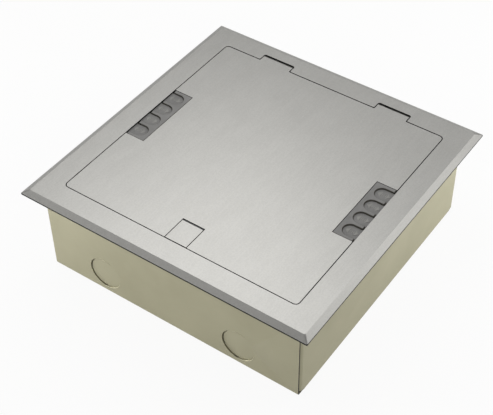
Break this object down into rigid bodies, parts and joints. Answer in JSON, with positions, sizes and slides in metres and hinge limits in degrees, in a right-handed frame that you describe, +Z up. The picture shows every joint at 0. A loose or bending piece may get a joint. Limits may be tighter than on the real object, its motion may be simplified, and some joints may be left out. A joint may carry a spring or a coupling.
{
  "type": "floor socket box",
  "caption": "Flush floor socket box: hinged stainless lid in a bevelled square cover, sliding cable-outlet shutters, rocking lift handle, folded zinc-plated back box with socket plates.",
  "frame": {"origin": "centre of the box's underside", "axes": "+Z up through the floor, +Y towards the lid's hinges, -Y towards the lift handle, +X to the right"},
  "size_m": [0.265, 0.265, 0.085],
  "materials": {
    "stainless": "brushed stainless steel",
    "zinc_yellow": "yellow-passivated zinc-plated steel",
    "zinc_bright": "bright zinc-plated steel",
    "steel_fixings": "zinc-plated steel",
    "spring_steel": "tempered spring steel",
    "grey_plastic": "moulded grey plastic",
    "white_plastic": "moulded white plastic",
    "dark_plastic": "moulded dark plastic",
    "rubber": "extruded rubber",
    "brass": "plain brass"
  },
  "bodies": {
    "box": {"box_shell": "zinc_yellow", "box_side_left": "zinc_yellow", "box_side_right": "zinc_yellow", "catch_spring_left": "spring_steel", "catch_spring_right": "spring_steel", "corner_brackets": "zinc_bright", "cover_trim": "stainless", "data_jacks_left": "dark_plastic", "data_jacks_right": "dark_plastic", "data_outlet_1": "white_plastic", "data_outlet_2": "white_plastic", "data_outlet_3": "white_plastic", "data_plate": "zinc_bright", "divider_left": "zinc_bright", "divider_right": "zinc_bright", "earth_contacts": "brass", "earth_nut": "brass", "earth_stud": "brass", "floor_seal": "rubber", "frame_screws": "steel_fixings", "hinge_bracket_left": "zinc_bright", "hinge_bracket_right": "zinc_bright", "hinge_pin_left": "steel_fixings", "hinge_pin_right": "steel_fixings", "lid_gasket": "rubber", "pin_contacts": "brass", "plate_screws": "steel_fixings", "power_plate_left": "zinc_bright", "power_plate_right": "zinc_bright", "power_strip_left": "white_plastic", "power_strip_right": "white_plastic", "seat_frame": "zinc_bright", "support_rail_back": "zinc_bright", "support_rail_front": "zinc_bright"},
    "lid": {"lid_plate": "stainless", "lid_pan": "zinc_bright", "lid_stiffener_left": "zinc_bright", "lid_stiffener_right": "zinc_bright", "hinge_lug_left": "zinc_bright", "hinge_lug_right": "zinc_bright", "cable_outlet_left": "grey_plastic", "cable_outlet_right": "grey_plastic", "outlet_retainer_left": "zinc_bright", "outlet_retainer_right": "zinc_bright", "handle_bracket": "zinc_bright", "handle_pin": "steel_fixings", "handle_spring": "spring_steel"},
    "handle": {"lift_handle": "stainless"},
    "shutter_left_1": {"shutter_left_1": "grey_plastic"},
    "shutter_left_2": {"shutter_left_2": "grey_plastic"},
    "shutter_left_3": {"shutter_left_3": "grey_plastic"},
    "shutter_left_4": {"shutter_left_4": "grey_plastic"},
    "shutter_right_1": {"shutter_right_1": "grey_plastic"},
    "shutter_right_2": {"shutter_right_2": "grey_plastic"},
    "shutter_right_3": {"shutter_right_3": "grey_plastic"},
    "shutter_right_4": {"shutter_right_4": "grey_plastic"}
  },
  "joints": [
    {"name": "lid_hinge", "type": "hinge", "parent": "box", "child": "lid", "pos_m": [0, 0.1133, 0.0816], "axis": [-1, 0, 0], "range_deg": [0, 93], "deforming": ["catch_spring_left", "catch_spring_right"]},
    {"name": "handle_rock", "type": "hinge", "parent": "lid", "child": "handle", "pos_m": [0, -0.098, 0.081], "axis": [-1, 0, 0], "range_deg": [0, 22], "stiffness_Nm_per_rad": 0.08, "springref_deg": -11.46, "deforming": ["handle_spring"]},
    {"name": "shutter_left_1_slide", "type": "slide", "parent": "lid", "child": "shutter_left_1", "axis": [1, 0, 0], "range_m": [0, 0.013]},
    {"name": "shutter_left_2_slide", "type": "slide", "parent": "lid", "child": "shutter_left_2", "axis": [1, 0, 0], "range_m": [0, 0.013]},
    {"name": "shutter_left_3_slide", "type": "slide", "parent": "lid", "child": "shutter_left_3", "axis": [1, 0, 0], "range_m": [0, 0.013]},
    {"name": "shutter_left_4_slide", "type": "slide", "parent": "lid", "child": "shutter_left_4", "axis": [1, 0, 0], "range_m": [0, 0.013]},
    {"name": "shutter_right_1_slide", "type": "slide", "parent": "lid", "child": "shutter_right_1", "axis": [-1, 0, 0], "range_m": [0, 0.013]},
    {"name": "shutter_right_2_slide", "type": "slide", "parent": "lid", "child": "shutter_right_2", "axis": [-1, 0, 0], "range_m": [0, 0.013]},
    {"name": "shutter_right_3_slide", "type": "slide", "parent": "lid", "child": "shutter_right_3", "axis": [-1, 0, 0], "range_m": [0, 0.013]},
    {"name": "shutter_right_4_slide", "type": "slide", "parent": "lid", "child": "shutter_right_4", "axis": [-1, 0, 0], "range_m": [0, 0.013]}
  ]
}
